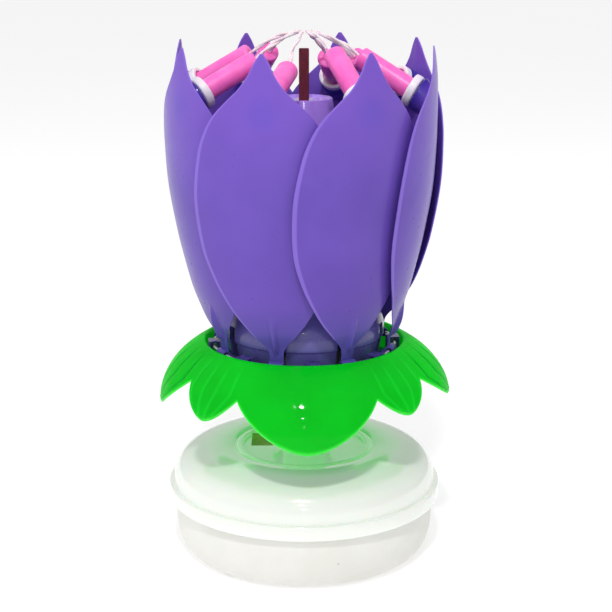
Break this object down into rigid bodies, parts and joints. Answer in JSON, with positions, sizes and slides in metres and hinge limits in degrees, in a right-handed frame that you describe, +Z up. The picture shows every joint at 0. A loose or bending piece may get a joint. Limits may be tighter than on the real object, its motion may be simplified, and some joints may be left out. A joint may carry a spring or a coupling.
{
  "type": "musical birthday candle",
  "caption": "Lotus-flower birthday candle on a round sounding base; its petals, each with a small candle inside, hinge open while the flower turns.",
  "frame": {"origin": "middle of the base's flat underside, where the candle stands on the cake or table", "axes": "+Z up along the turning axis, -Y towards the front that the picture shows, +X to the right seen from the front"},
  "size_m": [0.0741, 0.0742, 0.1333],
  "materials": {
    "petal_plastic": "smooth moulded violet plastic, slightly translucent at its thin edges",
    "tower_plastic": "smooth moulded indigo plastic",
    "leaf_plastic": "bright green translucent plastic with fine moulded veins",
    "drum_plastic": "white plastic with a soft matt surface",
    "lid_plastic": "glossy white plastic",
    "cup_plastic": "small white moulded cups",
    "candle_wax": "pink dyed wax, satin",
    "wick_cotton": "waxed cotton strand",
    "fuse_paper": "dark coated fuse stick",
    "white_nylon": "plain white moulded plastic",
    "spring_steel": "bright drawn wire",
    "motor_steel": "plated sheet steel",
    "screw_steel": "zinc plated steel",
    "contact_brass": "thin spring strip",
    "board_laminate": "brown paper laminate",
    "buzzer_plastic": "black moulded case"
  },
  "bodies": {
    "base": {"base_drum": "drum_plastic", "base_lid": "lid_plastic", "lid_screw_1": "screw_steel", "lid_screw_2": "screw_steel", "lid_screw_3": "screw_steel", "idler_pin": "motor_steel", "motor": "motor_steel", "buzzer": "buzzer_plastic", "circuit_board": "board_laminate", "button_cell_1": "motor_steel", "button_cell_2": "motor_steel", "button_cell_3": "motor_steel", "cell_contact_lower": "contact_brass", "cell_contact_upper": "contact_brass"},
    "head": {"petal_carrier": "tower_plastic", "calyx": "leaf_plastic", "central_tower": "tower_plastic", "fuse": "fuse_paper", "hinge_wire": "spring_steel", "spindle": "white_nylon", "spindle_gear": "white_nylon", "opening_spring": "spring_steel"},
    "ring": {"lift_ring": "white_nylon"},
    "idler": {"idler_gear": "white_nylon"},
    "pinion": {"motor_pinion": "white_nylon"},
    "flower_1": {"petal_1": "petal_plastic", "drip_cup_1": "cup_plastic", "candle_1": "candle_wax", "wick_1": "wick_cotton"},
    "flower_2": {"petal_2": "petal_plastic", "drip_cup_2": "cup_plastic", "candle_2": "candle_wax", "wick_2": "wick_cotton"},
    "flower_3": {"petal_3": "petal_plastic", "drip_cup_3": "cup_plastic", "candle_3": "candle_wax", "wick_3": "wick_cotton"},
    "flower_4": {"petal_4": "petal_plastic", "drip_cup_4": "cup_plastic", "candle_4": "candle_wax", "wick_4": "wick_cotton"},
    "flower_5": {"petal_5": "petal_plastic", "drip_cup_5": "cup_plastic", "candle_5": "candle_wax", "wick_5": "wick_cotton"},
    "flower_6": {"petal_6": "petal_plastic", "drip_cup_6": "cup_plastic", "candle_6": "candle_wax", "wick_6": "wick_cotton"},
    "flower_7": {"petal_7": "petal_plastic", "drip_cup_7": "cup_plastic", "candle_7": "candle_wax", "wick_7": "wick_cotton"},
    "flower_8": {"petal_8": "petal_plastic", "drip_cup_8": "cup_plastic", "candle_8": "candle_wax", "wick_8": "wick_cotton"}
  },
  "joints": [
    {"name": "head_spin", "type": "hinge", "parent": "base", "child": "head", "pos_m": [0, 0, 0.03], "axis": [0, 0, 1], "continuous": true},
    {"name": "petal_1_open", "type": "hinge", "parent": "head", "child": "flower_1", "pos_m": [-0.00667, -0.0218, 0.05455], "axis": [0.9563, -0.2924, 0], "range_deg": [0, 60]},
    {"name": "petal_2_open", "type": "hinge", "parent": "head", "child": "flower_2", "pos_m": [0.0107, -0.02013, 0.05455], "axis": [0.8829, 0.4695, 0], "range_deg": [0, 60]},
    {"name": "petal_3_open", "type": "hinge", "parent": "head", "child": "flower_3", "pos_m": [0.0218, -0.00667, 0.05455], "axis": [0.2924, 0.9563, 0], "range_deg": [0, 60]},
    {"name": "petal_4_open", "type": "hinge", "parent": "head", "child": "flower_4", "pos_m": [0.02013, 0.0107, 0.05455], "axis": [-0.4695, 0.8829, 0], "range_deg": [0, 60]},
    {"name": "petal_5_open", "type": "hinge", "parent": "head", "child": "flower_5", "pos_m": [0.00667, 0.0218, 0.05455], "axis": [-0.9563, 0.2924, 0], "range_deg": [0, 60]},
    {"name": "petal_6_open", "type": "hinge", "parent": "head", "child": "flower_6", "pos_m": [-0.0107, 0.02013, 0.05455], "axis": [-0.8829, -0.4695, 0], "range_deg": [0, 60]},
    {"name": "petal_7_open", "type": "hinge", "parent": "head", "child": "flower_7", "pos_m": [-0.0218, 0.00667, 0.05455], "axis": [-0.2924, -0.9563, 0], "range_deg": [0, 60]},
    {"name": "petal_8_open", "type": "hinge", "parent": "head", "child": "flower_8", "pos_m": [-0.02013, -0.0107, 0.05455], "axis": [0.4695, -0.8829, 0], "range_deg": [0, 60]},
    {"name": "ring_lift", "type": "slide", "parent": "head", "child": "ring", "axis": [0, 0, 1], "range_m": [0, 0.00901], "deforming": ["opening_spring"]},
    {"name": "idler_spin", "type": "hinge", "parent": "base", "child": "idler", "pos_m": [0, -0.017, 0.012], "axis": [0, 0, 1], "continuous": true},
    {"name": "pinion_spin", "type": "hinge", "parent": "base", "child": "pinion", "pos_m": [0.01597, -0.01119, 0.012], "axis": [0, 0, 1], "continuous": true}
  ],
  "couplings": [
    {"joint": "petal_2_open", "follows": "petal_1_open", "ratio": 1},
    {"joint": "petal_3_open", "follows": "petal_1_open", "ratio": 1},
    {"joint": "petal_4_open", "follows": "petal_1_open", "ratio": 1},
    {"joint": "petal_5_open", "follows": "petal_1_open", "ratio": 1},
    {"joint": "petal_6_open", "follows": "petal_1_open", "ratio": 1},
    {"joint": "petal_7_open", "follows": "petal_1_open", "ratio": 1},
    {"joint": "petal_8_open", "follows": "petal_1_open", "ratio": 1},
    {"joint": "ring_lift", "follows": "petal_1_open", "m_per_rad": 0.008594},
    {"joint": "idler_spin", "follows": "head_spin", "ratio": -2.4},
    {"joint": "pinion_spin", "follows": "head_spin", "ratio": 5.76}
  ]
}
